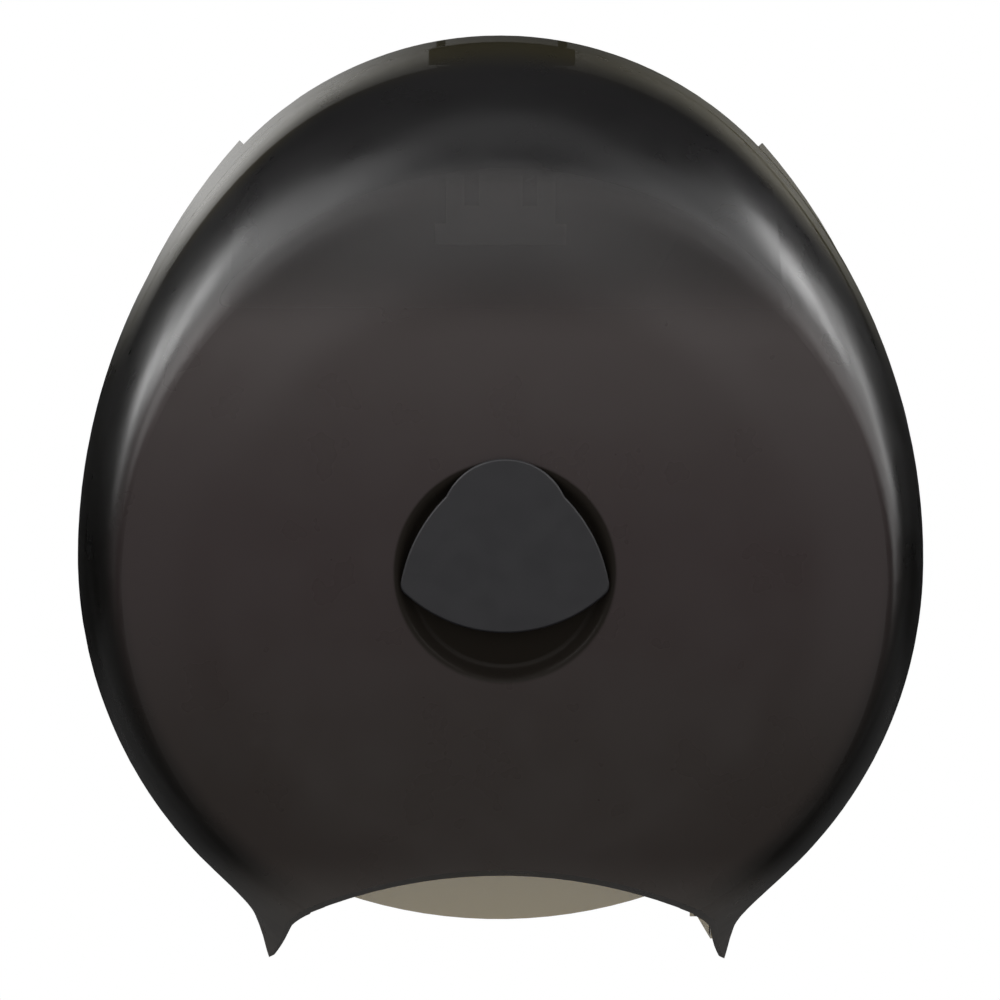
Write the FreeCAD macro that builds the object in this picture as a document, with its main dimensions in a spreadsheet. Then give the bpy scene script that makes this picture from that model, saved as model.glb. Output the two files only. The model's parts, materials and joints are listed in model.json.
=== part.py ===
import FreeCAD, Part
import Sketcher
import math
import os

# Jumbo toilet roll dispenser for a wall. The wall is the plane y = 0, the front faces -Y and +Z is up.
# The origin is on the wall, on the axis of the roll, in the middle of the four wall screw holes.
# All sizes are millimetres and degrees.

sizes = {
    # cover, outer form: an egg at the rim, a flat round face at the front
    "cover_half_width": 173.0,
    "cover_top": 212.5,
    "cover_side_over": 29.5,
    "cover_depth": 146.0,
    "cover_gap": 4.0,
    "cover_wall": 2.5,
    "face_radius": 150.0,
    "face_drop": 4.0,
    "flare_radius": 77.0,
    "tip_out_share": 0.55,
    "tip_down_share": 0.97,
    "foot_start_angle": 72.0,
    "overrun": 12.0,
    "foot_hollow_share": 0.5,
    # cover, mouth where the paper leaves
    "mouth_radius_share": 1.19,
    "mouth_rise": 50.51,
    "mouth_slope": 11.5,
    "mouth_flange": 20.0,
    "lip_stop": 17.15,
    # cover, finger lips beside the top
    "lip_reach": 2.3,
    "lip_bulge_share": 0.5,
    "lip_depth": 6.0,
    "lip_end_share": 0.67,
    # cover, round recess and the cap in it
    "recess_radius": 43.5,
    "recess_depth": 5.5,
    "recess_run": 7.0,
    "recess_pull": 3.5,
    "cap_proud": 1.85,
    "cap_thick": 1.8,
    "cap_half_width": 41.2,
    "cap_corner_drop": 6.7,
    "cap_bottom": 23.7,
    "cap_top": 44.6,
    "cap_kink_x": 23.2,
    "cap_kink_z": 29.8,
    "cap_side_bulge": 3.4,
    "cap_corner_round": 5.0,
    "cap_edge_round": 0.8,
    "cap_stem_radius": 20.0,
    "cap_stem_wall": 2.0,
    "cap_leg_circle": 13.0,
    "cap_leg_width": 6.0,
    "cap_leg_thick": 1.8,
    "cap_barb": 0.9,
    "cap_leg_room": 0.3,
    # back plate
    "plate_edge_room": 5.0,
    "plate_top_room": 11.0,
    "plate_side_over": 23.5,
    "plate_bottom_rise": 14.41,
    "plate_bottom_share": 1.19,
    "plate_floor": 2.5,
    "flange_height": 12.0,
    "flange_wall": 2.2,
    "flange_end": 94.0,
    "rib_height": 3.0,
    "rib_width": 2.0,
    "rib_ring_radius": 62.0,
    "wall_hole_radius": 2.6,
    "wall_hole_x": 200.0,
    "wall_hole_z": 160.0,
    "wall_boss_radius": 9.0,
    "wall_boss_height": 3.5,
    # hinge at the feet
    "hinge_forward": 22.0,
    "hinge_rise": 13.81,
    "heel_room": 0.6,
    "ear_inset": 11.95,
    "ear_thick": 5.6,
    "ear_radius": 4.8,
    "ear_bite": 2.7,
    "knuckle_gap": 0.4,
    "knuckle_radius": 5.0,
    "knuckle_outset": 1.85,
    "pin_radius": 2.0,
    "pin_room": 0.05,
    "pin_head_radius": 3.4,
    "pin_head_thick": 1.4,
    "pin_seat": 5.5,
    "bush_wall": 1.2,
    "bush_flange": 0.8,
    "seat_room": 0.02,
    # roll spindle
    "seat_radius": 29.0,
    "seat_height": 5.0,
    "base_radius": 27.0,
    "base_thick": 3.0,
    "shoulder_radius": 13.0,
    "shoulder_end": 15.0,
    "post_radius": 9.0,
    "post_end": 97.0,
    "post_bore": 5.6,
    "post_nose_wall": 10.0,
    "gusset_reach": 9.0,
    "gusset_thick": 2.4,
    "base_screw_circle": 21.0,
    "screw_radius": 1.6,
    "screw_pilot": 1.65,
    "screw_head_radius": 3.2,
    "screw_head_thick": 2.0,
    "screw_length": 7.0,
    "drive_width": 0.8,
    "drive_depth": 1.1,
    "drive_length": 3.8,
    "hub_radius": 41.5,
    "hub_wall": 2.2,
    "hub_rear": 18.0,
    "hub_front": 92.0,
    "hub_flange_radius": 52.0,
    "hub_flange_thick": 2.4,
    "sleeve_wall": 2.2,
    "web_thick": 2.2,
    "spoke_thick": 2.0,
    "bush_length": 14.0,
    "bush_sleeve_wall": 2.0,
    "hub_bush_flange": 1.2,
    "end_play": 0.3,
    "washer_radius": 12.5,
    "washer_thick": 1.2,
    "nose_length": 12.0,
    "nose_front_radius": 31.0,
    "nose_wall": 2.2,
    "nose_lip": 4.0,
    # latch at the top
    "slide_back": 4.0,
    "slide_thick": 3.0,
    "slide_width": 45.0,
    "slide_length": 56.5,
    "bar_width": 54.0,
    "bar_height": 8.5,
    "bar_thick": 6.5,
    "head_height": 4.5,
    "arm_spacing": 50.0,
    "arm_thick": 3.2,
    "arm_drop": 22.5,
    "arm_root": 1.5,
    "arm_height": 5.5,
    "arm_reach": 22.0,
    "barb_height": 4.0,
    "barb_thick": 3.4,
    "latch_room": 0.5,
    "catch_half_width": 30.0,
    "catch_front": 17.8,
    "catch_thick": 2.5,
    "key_slot_width": 3.6,
    "key_slot_depth": 7.0,
    "key_slot_front": 13.5,
    "rail_width": 3.0,
    "rail_room": 0.1,
    "guide_room": 0.6,
    "guide_drop": 3.5,
    "guide_height": 28.5,
    "guide_wall": 2.6,
    "guide_lip": 3.0,
    "guide_foot": 12.0,
    "guide_foot_thick": 2.6,
    "spring_x": 12.0,
    "spring_radius": 1.6,
    "spring_wire": 0.3,
    "spring_turns": 4.0,
    "window_width": 6.0,
    "window_rise": 7.5,
    "window_height": 23.5,
    "stop_rise": 4.8,
    "stop_height": 3.0,
    "stop_width": 4.8,
    "stop_front": 7.6,
}

# Sizes that follow from those above, as formulas of the sheet. Drops are measured down, rises up.
linked_sizes = {
    "cover_side_radius": "=cover_top + cover_side_over",
    "tip_half_spacing": "=cover_half_width * tip_out_share",
    "tip_drop": "=cover_half_width * tip_down_share",
    "mouth_radius": "=cover_half_width * mouth_radius_share",
    "mouth_crown": "=tip_drop - mouth_rise",
    "lip_half_span": "=tip_half_spacing - lip_stop",
    "plate_half_width": "=cover_half_width - plate_edge_room",
    "plate_top": "=cover_top - plate_top_room",
    "plate_side_radius": "=plate_top + plate_side_over",
    "plate_bottom": "=tip_drop - plate_bottom_rise",
    "plate_bottom_radius": "=plate_half_width * plate_bottom_share",
    "hinge_drop": "=tip_drop - hinge_rise",
    "heel_radius": "=hinge_forward - heel_room",
    "ear_inner_x": "=tip_half_spacing - ear_inset",
    "knuckle_end_x": "=tip_half_spacing + knuckle_outset",
    "arm_bottom": "=cover_top - arm_drop",
    "slide_top": "=arm_bottom + arm_root",
    "slide_bottom": "=slide_top - slide_length",
    "guide_top": "=arm_bottom - guide_drop",
    "guide_bottom": "=guide_top - guide_height",
    "window_bottom": "=slide_bottom + window_rise",
    "window_top": "=window_bottom + window_height",
    "stop_bottom": "=window_bottom + stop_rise",
}

doc = FreeCAD.newDocument("dispenser")
sheet = doc.addObject("Spreadsheet::Sheet", "sizes")
cells = [*sizes.items(), *linked_sizes.items()]
for row, (alias, content) in enumerate(cells, start=1):
    sheet.set("A%d" % row, alias)
    sheet.set("B%d" % row, str(content))
    sheet.setAlias("B%d" % row, alias)
doc.recompute()


class Values:
    pass


v = Values()
for alias, content in cells:
    setattr(v, alias, float(sheet.get(alias)))

parts = []
vector = FreeCAD.Vector
turn_about_x = vector(1, 0, 0)


# Working steps shared by all bodies

def new_body(label):
    body = doc.addObject("PartDesign::Body", label)
    body.Label = label
    parts.append(body)
    return body


def origin_plane(body, role):
    return [item for item in body.Origin.OriginFeatures if item.Role == role][0]


def new_sketch(body, name, role, offset=None, shift=(0, 0), tilt=0):
    sketch = body.newObject("Sketcher::SketchObject", body.Label + "_" + name)
    sketch.AttachmentSupport = (origin_plane(body, role), [""])
    sketch.MapMode = "FlatFace"
    turned = FreeCAD.Rotation(turn_about_x, tilt)
    sketch.AttachmentOffset = FreeCAD.Placement(vector(shift[0], shift[1], 0), turned)
    if offset:
        sketch.setExpression("AttachmentOffset.Base.z", offset)
    return sketch


def add_wire(sketch, curves):
    # closes the curves into one loop; an arc's own ends may come the other way round
    first = sketch.GeometryCount
    for curve in curves:
        sketch.addGeometry(curve, False)
    count = len(curves)
    for i in range(count):
        here = first + i
        after = first + (i + 1) % count
        meeting = [(sketch.getPoint(here, a).distanceToPoint(sketch.getPoint(after, b)), a, b)
                   for a in (1, 2) for b in (1, 2)]
        near, a, b = min(meeting)
        sketch.addConstraint(Sketcher.Constraint("Coincident", here, a, after, b))


def flat(x, y):
    return vector(x, y, 0)


def line(a, b):
    return Part.LineSegment(a, b)


def polygon(sketch, points):
    corners = [flat(*p) for p in points]
    add_wire(sketch, [line(corners[i - 1], corners[i]) for i in range(len(corners))])


def rectangle(sketch, x0, x1, y0, y1):
    polygon(sketch, [(x0, y0), (x1, y0), (x1, y1), (x0, y1)])


def circle(sketch, x, y, radius):
    # the radius is an expression in the sheet's names
    index = sketch.addGeometry(Part.Circle(flat(x, y), vector(0, 0, 1), 1), False)
    place = sketch.addConstraint(Sketcher.Constraint("Radius", index, 1))
    sketch.setExpression("Constraints[%d]" % place, radius)
    for kind, distance in (("DistanceX", x), ("DistanceY", y)):
        sketch.addConstraint(Sketcher.Constraint(kind, -1, 1, index, 3, distance))


def feature(body, kind, name, profile, **settings):
    item = body.newObject("PartDesign::" + kind, body.Label + "_" + name)
    item.Profile = profile
    for key, value in settings.items():
        setattr(item, key, value)
    return item


def pad(body, name, sketch, length, **settings):
    item = feature(body, "Pad", name, sketch, **settings)
    item.setExpression("Length", length)
    return item


def pocket(body, name, sketch, length, **settings):
    item = feature(body, "Pocket", name, sketch, **settings)
    item.setExpression("Length", length)
    return item


def revolve(body, name, sketch, axis="H_Axis", kind="Revolution"):
    item = feature(body, kind, name, sketch)
    item.ReferenceAxis = (sketch, [axis])
    item.Angle = 360
    return item


def polar(body, name, features, count, axis_role="Y_Axis"):
    item = body.newObject("PartDesign::PolarPattern", body.Label + "_" + name)
    item.Originals = features
    item.Axis = (origin_plane(body, axis_role), [""])
    item.Angle = 360
    item.Occurrences = count
    body.Tip = item
    return item


def mirror(body, name, features, role="YZ_Plane"):
    item = body.newObject("PartDesign::Mirrored", body.Label + "_" + name)
    item.Originals = features
    item.MirrorPlane = (origin_plane(body, role), [""])
    body.Tip = item
    return item


# The egg outline of the cover and of the plate, in X and Z

def mirrored(point):
    return flat(-point.x, point.y)


def unit(direction):
    return direction * (1 / direction.Length)


def arc_about(center, start, end):
    # the short arc from start to end round center
    middle = unit((start + end) * 0.5 - center)
    return Part.Arc(start, center + middle * (start - center).Length, end)


def egg_lift(half, top, side_radius):
    # height of the centre of the top arc, which runs on smoothly from the side arcs
    inward = side_radius - half
    short = side_radius - top
    return (inward ** 2 - short ** 2) / (2 * short)


def egg_joint(half, top, side_radius):
    # where the side arc runs into the top arc, and the centres of both
    lift = egg_lift(half, top, side_radius)
    side_center = flat(half - side_radius, 0)
    way = unit(flat(side_radius - half, lift))
    return side_center + way * side_radius, side_center, flat(0, lift)


# The hollow flare of a foot is an arc that touches the lower arc from outside and ends at the tip.
flare_reach = v.cover_half_width + v.flare_radius
tip_reach = math.hypot(v.tip_half_spacing, v.tip_drop)
flare_along = (flare_reach ** 2 - v.flare_radius ** 2 + tip_reach ** 2) / (2 * tip_reach)
flare_aside = math.sqrt(flare_reach ** 2 - flare_along ** 2)
tip_way = unit(flat(v.tip_half_spacing, -v.tip_drop))
flare_center = tip_way * flare_along + flat(-tip_way.y, tip_way.x) * flare_aside
flare_way = unit(flare_center)
face_center = flat(0, -v.face_drop)
foot_start = math.radians(v.foot_start_angle)
face_foot_way = flat(math.cos(foot_start), -math.sin(foot_start))
side_joint_way = unit(flat(v.cover_side_radius - v.cover_half_width,
                           egg_lift(v.cover_half_width, v.cover_top, v.cover_side_radius)))
right_way = flat(1, 0)
up_way = flat(0, 1)


def arc_poles(center, radius, start_way, end_way):
    # an arc as three poles and the weight of the middle one
    cosine = start_way.dot(end_way)
    middle = center + (start_way + end_way) * (radius / (1 + cosine))
    return [center + start_way * radius, middle, center + end_way * radius], math.sqrt((1 + cosine) / 2)


def rim_arcs(inset):
    # poles along the right half of the rim: foot flare, lower arc, side arc, top arc
    half = v.cover_half_width - inset
    side_radius = v.cover_side_radius - inset
    flare_radius = v.flare_radius + inset
    rise = -v.tip_drop - v.overrun - flare_center.y
    end_way = flat(-math.sqrt(flare_radius ** 2 - rise ** 2), rise) * (1 / flare_radius)
    joint, side_center, top_center = egg_joint(half, v.cover_top - inset, side_radius)
    return [
        arc_poles(flare_center, flare_radius, end_way, -flare_way),
        arc_poles(flat(0, 0), half, flare_way, right_way),
        arc_poles(side_center, side_radius, right_way, side_joint_way),
        arc_poles(top_center, (joint - top_center).Length, side_joint_way, up_way),
    ]


def face_arcs(inset):
    radius = v.face_radius - inset
    ways = [face_foot_way, flare_way, right_way, side_joint_way, up_way]
    return [arc_poles(face_center, radius, a, b) for a, b in zip(ways, ways[1:])]


def in_space(point, depth):
    return vector(point.x, -depth, point.y)


def dome_patch(rim, face, weight, inset, side, is_foot):
    # one piece of the domed wall: a quarter ellipse from every point of the rim to the face
    front = v.cover_depth - inset
    rows = []
    for i, (outer, inner) in enumerate(zip(rim, face)):
        outer = flat(outer.x * side, outer.y)
        inner = flat(inner.x * side, inner.y)
        corner = in_space(outer, front)
        if is_foot and i == 0:
            hollow = inner + (outer - inner) * v.foot_hollow_share
            corner = in_space(hollow, v.cover_gap + (front - v.cover_gap) * v.foot_hollow_share)
        rows.append([in_space(outer, v.cover_gap), corner, in_space(inner, front)])
    across = math.sqrt(1 / 2)
    weights = [[a * b for b in (1, across, 1)] for a in (1, weight, 1)]
    surface = Part.BSplineSurface()
    surface.buildFromPolesMultsKnots(rows, [3, 3], [3, 3], [0, 1], [0, 1], False, False, 2, 2, weights)
    return surface


def dome_solid(inset):
    # the domed form inside the given inset, closed by flat faces at the rim, front and foot
    surfaces = []
    for side in (1, -1):
        pairs = zip(rim_arcs(inset), face_arcs(inset))
        for i, ((rim, weight), (face, face_weight)) in enumerate(pairs):
            surfaces.append(dome_patch(rim, face, weight, inset, side, i == 0))
    faces = [surface.toShape() for surface in surfaces]
    rim_edges = [surface.vIso(0).toShape() for surface in surfaces]
    front_edges = [surface.vIso(1).toShape() for surface in surfaces]
    foot_edges = [surfaces[i].uIso(0).toShape() for i in (0, len(surfaces) // 2)]
    ends = [edge.valueAt(edge.LastParameter) for edge in foot_edges]
    starts = [edge.valueAt(edge.FirstParameter) for edge in foot_edges]
    rim_line = Part.LineSegment(starts[0], starts[1]).toShape()
    front_line = Part.LineSegment(ends[0], ends[1]).toShape()
    faces.append(Part.Face(Part.Wire(Part.__sortEdges__(rim_edges + [rim_line]))))
    faces.append(Part.Face(Part.Wire(Part.__sortEdges__(front_edges + [front_line]))))
    faces.append(Part.makeRuledSurface(foot_edges[0], foot_edges[1]))
    shell = Part.Shell(faces)
    shell.sewShape()
    solid = Part.Solid(shell)
    if solid.Volume < 0:
        solid.reverse()
    return solid


# Lines that several pieces share

hinge_y = -v.hinge_forward
hinge_z = -v.hinge_drop
ear_outer_x = v.ear_inner_x + v.ear_thick
knuckle_start = ear_outer_x + v.knuckle_gap
seat_front = v.plate_floor + v.seat_height
base_front = seat_front + v.base_thick
slide_front = v.slide_back + v.slide_thick
catch_back = v.catch_front - v.catch_thick
barb_back = v.arm_reach - v.barb_thick
arm_top = v.arm_bottom + v.arm_height
barb_top = arm_top + v.barb_height
catch_bottom = barb_top + v.latch_room
bush_inner = v.post_radius + v.pin_room
bush_outer = bush_inner + v.bush_sleeve_wall
sleeve_inner = bush_outer + v.seat_room
sleeve_outer = sleeve_inner + v.sleeve_wall
sleeve_rear = v.shoulder_end + v.end_play + v.hub_bush_flange
sleeve_front = v.post_end - v.end_play - v.hub_bush_flange
bore_inner = v.hub_radius - v.hub_wall
recess_floor = v.cover_depth - v.recess_depth
cap_back = v.cover_depth + v.cap_proud - v.cap_thick


# Cover

def mouth_tube(radius):
    # the leaning cylinder that shapes the mouth, crown at the front face
    lean = math.radians(v.mouth_slope)
    way = vector(0, -math.cos(lean), math.sin(lean))
    down = vector(0, -math.sin(lean), -math.cos(lean))
    center = vector(0, -v.cover_depth, -v.mouth_crown) + down * v.mouth_radius
    length = 2 * v.cover_depth
    return Part.makeCylinder(radius, 2 * length, center - way * length, way)


def cover_form():
    # the domed shell with the turned-in lip round its mouth
    outside = dome_solid(0)
    shell = outside.cut(dome_solid(v.cover_wall))
    lip = outside.common(mouth_tube(v.mouth_radius + v.cover_wall))
    lip = lip.cut(dome_solid(v.cover_wall + v.mouth_flange))
    span = 2 * v.lip_half_span
    window = Part.makeBox(span, 2 * v.cover_depth, 2 * v.tip_drop,
                          vector(-v.lip_half_span, -2 * v.cover_depth, -2 * v.tip_drop))
    return shell.fuse(lip.common(window)).removeSplitter()


def recess_profile(sketch):
    # half section of the cup wall: along Y, and out from the roll axis
    face = -v.cover_depth
    floor = -recess_floor
    wall = v.cover_wall
    brim = v.recess_radius
    foot = v.recess_radius - v.recess_run

    def wall_curve(depth, aside):
        # a soft step from the face down to the floor
        curve = Part.BezierCurve()
        curve.setPoles([flat(face + depth, brim), flat(face + depth, brim - v.recess_pull + aside),
                        flat(floor + depth, foot + v.recess_pull + aside), flat(floor + depth, foot)])
        return curve.toBSpline()

    curves = [
        wall_curve(0, 0),
        line(flat(floor, foot), flat(floor, 0)),
        line(flat(floor, 0), flat(floor + wall, 0)),
        line(flat(floor + wall, 0), flat(floor + wall, foot)),
        wall_curve(wall, wall),
        line(flat(face + wall, brim), flat(face, brim)),
    ]
    add_wire(sketch, curves)


def finger_lip(sketch, side):
    # crescent outside the rim, thick at the end of the top arc and running out lower down
    inset = v.cover_wall / 2
    joint, side_center, top_center = egg_joint(v.cover_half_width, v.cover_top, v.cover_side_radius)
    way = unit(joint - side_center)
    end = joint.y * v.lip_end_share
    low = flat(side_center.x + math.sqrt(v.cover_side_radius ** 2 - end ** 2), end)
    low_way = unit(low - side_center)
    middle_way = unit(way + low_way)
    outer = v.cover_side_radius
    buried = outer - inset
    bulge = outer + v.lip_reach * v.lip_bulge_share
    points = [
        joint + way * v.lip_reach,
        side_center + middle_way * bulge,
        low,
        side_center + low_way * buried,
        side_center + middle_way * buried,
        side_center + way * buried,
    ]
    a, b, c, d, e, f = [flat(point.x * side, point.y) for point in points]
    add_wire(sketch, [Part.Arc(a, b, c), line(c, d), Part.Arc(d, e, f), line(f, a)])


def catch_profile(sketch):
    inset = v.cover_wall / 2
    joint, side_center, top_center = egg_joint(v.cover_half_width, v.cover_top, v.cover_side_radius)
    radius = v.cover_top - inset - top_center.y - (v.cover_wall - inset)
    half = v.catch_half_width
    top = top_center.y + math.sqrt(radius ** 2 - half ** 2)
    corner = flat(half, top)
    add_wire(sketch, [
        line(flat(-half, catch_bottom), flat(half, catch_bottom)),
        line(flat(half, catch_bottom), corner),
        Part.Arc(corner, flat(0, top_center.y + radius), mirrored(corner)),
        line(mirrored(corner), flat(-half, catch_bottom)),
    ])


def make_cover():
    body = new_body("cover")
    form = doc.addObject("Part::Feature", "cover_form")
    form.Shape = cover_form()
    body.BaseFeature = form
    doc.recompute()

    mouth = new_sketch(body, "mouth", "XZ_Plane", "sizes.cover_depth", (0, -v.mouth_crown), -v.mouth_slope)
    circle(mouth, 0, -v.mouth_radius, "sizes.mouth_radius")
    pocket(body, "mouth_cut", mouth, "4 * sizes.cover_depth", Midplane=True)

    opening = new_sketch(body, "recess_hole", "XZ_Plane", "sizes.cover_depth")
    circle(opening, 0, 0, "sizes.recess_radius")
    pocket(body, "recess_cut", opening, "2 * sizes.cover_wall")
    cup = new_sketch(body, "recess_wall", "YZ_Plane")
    recess_profile(cup)
    revolve(body, "recess", cup)

    leg_hole = new_sketch(body, "leg_hole", "XZ_Plane", "sizes.cover_depth")
    half = v.cap_leg_width / 2 + v.cap_leg_room
    rectangle(leg_hole, -half, half, v.cap_leg_circle - v.cap_leg_thick - v.cap_leg_room,
              v.cap_leg_circle + v.cap_barb + v.cap_leg_room)
    hole = pocket(body, "leg_hole_cut", leg_hole, "sizes.cover_depth / 2")
    polar(body, "leg_holes", [hole], 3)

    for side, name in ((1, "right"), (-1, "left")):
        lip = new_sketch(body, "finger_lip_" + name, "XZ_Plane", "sizes.cover_gap")
        finger_lip(lip, side)
        pad(body, "finger_rim_" + name, lip, "sizes.lip_depth")

    catch = new_sketch(body, "catch_profile", "XZ_Plane")
    catch.AttachmentOffset = FreeCAD.Placement(vector(0, 0, catch_back), FreeCAD.Rotation())
    catch_profile(catch)
    pad(body, "catch", catch, "sizes.catch_thick")

    key = new_sketch(body, "key_slots", "XY_Plane")
    key.AttachmentOffset = FreeCAD.Placement(vector(0, 0, barb_top), FreeCAD.Rotation())
    for side in (1, -1):
        middle = side * v.arm_spacing / 2
        rectangle(key, middle - v.key_slot_width / 2, middle + v.key_slot_width / 2,
                  -v.key_slot_front, v.key_slot_depth - v.key_slot_front)
    pocket(body, "key_slot_cut", key, "sizes.cover_top - sizes.tip_drop / 2", Reversed=True)

    knuckle = new_sketch(body, "knuckle", "YZ_Plane")
    knuckle.AttachmentOffset = FreeCAD.Placement(vector(0, 0, knuckle_start), FreeCAD.Rotation())
    circle(knuckle, hinge_y, hinge_z, "sizes.knuckle_radius")
    boss = pad(body, "knuckle_pad", knuckle,
               "sizes.knuckle_end_x - sizes.ear_inner_x - sizes.ear_thick - sizes.knuckle_gap")
    mirror(body, "knuckle_pair", [boss])

    bore = new_sketch(body, "pin_bore", "YZ_Plane")
    bore.AttachmentOffset = FreeCAD.Placement(vector(0, 0, knuckle_start), FreeCAD.Rotation())
    circle(bore, hinge_y, hinge_z, "sizes.pin_radius + sizes.seat_room")
    cut = pocket(body, "pin_bore_cut", bore, "sizes.pin_seat", Reversed=True)
    mirror(body, "pin_bore_pair", [cut])

    heel = new_sketch(body, "heel", "YZ_Plane")
    low = flat(hinge_y, hinge_z - v.heel_radius)
    back = flat(hinge_y + v.heel_radius, hinge_z)
    corner = math.sqrt(1 / 2) * v.heel_radius
    outside = v.overrun + v.heel_radius
    add_wire(heel, [
        Part.Arc(low, flat(hinge_y + corner, hinge_z - corner), back),
        line(back, flat(hinge_y + outside, hinge_z)),
        line(flat(hinge_y + outside, hinge_z), flat(hinge_y + outside, hinge_z - outside)),
        line(flat(hinge_y + outside, hinge_z - outside), flat(hinge_y, hinge_z - outside)),
        line(flat(hinge_y, hinge_z - outside), low),
    ])
    pocket(body, "heel_cut", heel, "2 * sizes.cover_half_width", Midplane=True)
    return body


# Cap in the recess

def cap_outline():
    top = flat(0, v.cap_top)
    kink = flat(v.cap_kink_x, v.cap_kink_z)
    corner = flat(v.cap_half_width, -v.cap_corner_drop)
    bottom = flat(0, -v.cap_bottom)
    out = unit(flat(kink.y - corner.y, corner.x - kink.x))
    side = (kink + corner) * 0.5 + out * v.cap_side_bulge
    return [
        Part.Arc(kink, top, mirrored(kink)),
        Part.Arc(mirrored(kink), mirrored(side), mirrored(corner)),
        Part.Arc(mirrored(corner), bottom, corner),
        Part.Arc(corner, side, kink),
    ]


def edges_where(shape, test):
    return ["Edge%d" % (i + 1) for i, edge in enumerate(shape.Edges) if test(edge)]


def along_y(edge, length):
    a, b = [vertex.Point for vertex in edge.Vertexes] if len(edge.Vertexes) == 2 else (vector(), vector())
    way = b - a
    return abs(abs(way.y) - length) < v.seat_room and abs(way.x) + abs(way.z) < v.seat_room


def make_cover_hub_cap():
    body = new_body("cover_hub_cap")
    face = new_sketch(body, "outline", "XZ_Plane")
    face.AttachmentOffset = FreeCAD.Placement(vector(0, 0, cap_back), FreeCAD.Rotation())
    add_wire(face, cap_outline())
    plate = pad(body, "plate", face, "sizes.cap_thick")
    doc.recompute()

    corners = edges_where(plate.Shape, lambda edge: along_y(edge, v.cap_thick)
                          and edge.CenterOfMass.z < 0)
    soft = body.newObject("PartDesign::Fillet", "cap_corners")
    soft.Base = (plate, corners)
    soft.setExpression("Radius", "sizes.cap_corner_round")
    doc.recompute()

    front = -(cap_back + v.cap_thick)
    rim = edges_where(soft.Shape, lambda edge: abs(edge.CenterOfMass.y - front) < v.seat_room)
    edge_round = body.newObject("PartDesign::Fillet", "cap_edge")
    edge_round.Base = (soft, rim)
    edge_round.setExpression("Radius", "sizes.cap_edge_round")
    doc.recompute()

    stem = new_sketch(body, "stem", "XZ_Plane")
    stem.AttachmentOffset = FreeCAD.Placement(vector(0, 0, recess_floor), FreeCAD.Rotation())
    circle(stem, 0, 0, "sizes.cap_stem_radius")
    circle(stem, 0, 0, "sizes.cap_stem_radius - sizes.cap_stem_wall")
    pad(body, "stem_wall", stem, "sizes.recess_depth + sizes.cap_proud - sizes.cap_thick")

    leg = new_sketch(body, "leg", "YZ_Plane")
    floor_back = -(recess_floor - v.cover_wall)
    hook = floor_back + v.pin_room
    tip = hook + v.cap_thick
    outer = v.cap_leg_circle
    inner = outer - v.cap_leg_thick
    polygon(leg, [(-cap_back, inner), (-cap_back, outer), (hook, outer), (hook, outer + v.cap_barb),
                  (tip, outer - v.cap_barb / 2), (tip, inner)])
    one = pad(body, "leg_pad", leg, "sizes.cap_leg_width", Midplane=True)
    polar(body, "legs", [one], 3)
    return body


# Back plate

plate_joint, plate_side_center, plate_top_center = egg_joint(
    v.plate_half_width, v.plate_top, v.plate_side_radius)


def plate_outline():
    half = v.plate_half_width
    center = v.plate_bottom_radius - v.plate_bottom
    level = (center ** 2 - v.plate_bottom_radius ** 2 + half ** 2) / (2 * center)
    meet = flat(math.sqrt(half ** 2 - level ** 2), level)
    widest = flat(half, 0)
    origin = flat(0, 0)
    return [
        arc_about(plate_top_center, plate_joint, mirrored(plate_joint)),
        arc_about(mirrored(plate_side_center), mirrored(plate_joint), mirrored(widest)),
        arc_about(origin, mirrored(widest), mirrored(meet)),
        Part.Arc(mirrored(meet), flat(0, -v.plate_bottom), meet),
        arc_about(origin, meet, widest),
        arc_about(plate_side_center, widest, plate_joint),
    ]


def plate_inside():
    # inside line of the raised edge, open across the bottom of the plate
    wall = v.flange_wall
    half = v.plate_half_width - wall
    way = unit(plate_joint - plate_side_center)
    joint = plate_joint - way * wall
    widest = flat(half, 0)
    end = flat(math.sqrt(half ** 2 - v.flange_end ** 2), -v.flange_end)
    out = flat(v.plate_half_width + v.overrun, -v.flange_end)
    low = flat(out.x, -v.plate_bottom - v.overrun)
    origin = flat(0, 0)
    return [
        arc_about(plate_top_center, joint, mirrored(joint)),
        arc_about(mirrored(plate_side_center), mirrored(joint), mirrored(widest)),
        arc_about(origin, mirrored(widest), mirrored(end)),
        line(mirrored(end), mirrored(out)),
        line(mirrored(out), mirrored(low)),
        line(mirrored(low), low),
        line(low, out),
        line(out, end),
        arc_about(origin, end, widest),
        arc_about(plate_side_center, widest, joint),
    ]


def ear_top():
    # the ears and their lobes bite this far into the bottom edge of the plate
    aside = ear_outer_x + v.rib_width
    edge = math.sqrt(v.plate_bottom_radius ** 2 - aside ** 2)
    return v.plate_bottom_radius - v.plate_bottom - edge + v.ear_bite


def ear_profile(sketch):
    corner = math.sqrt(1 / 2) * v.ear_radius
    top = flat(0, ear_top())
    low = flat(0, hinge_z + v.knuckle_gap * v.knuckle_radius)
    under = flat(hinge_y, hinge_z - v.ear_radius)
    over = flat(hinge_y - corner, hinge_z + corner)
    add_wire(sketch, [
        line(top, low),
        line(low, under),
        Part.Arc(under, flat(hinge_y - v.ear_radius, hinge_z), over),
        line(over, top),
    ])


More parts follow.
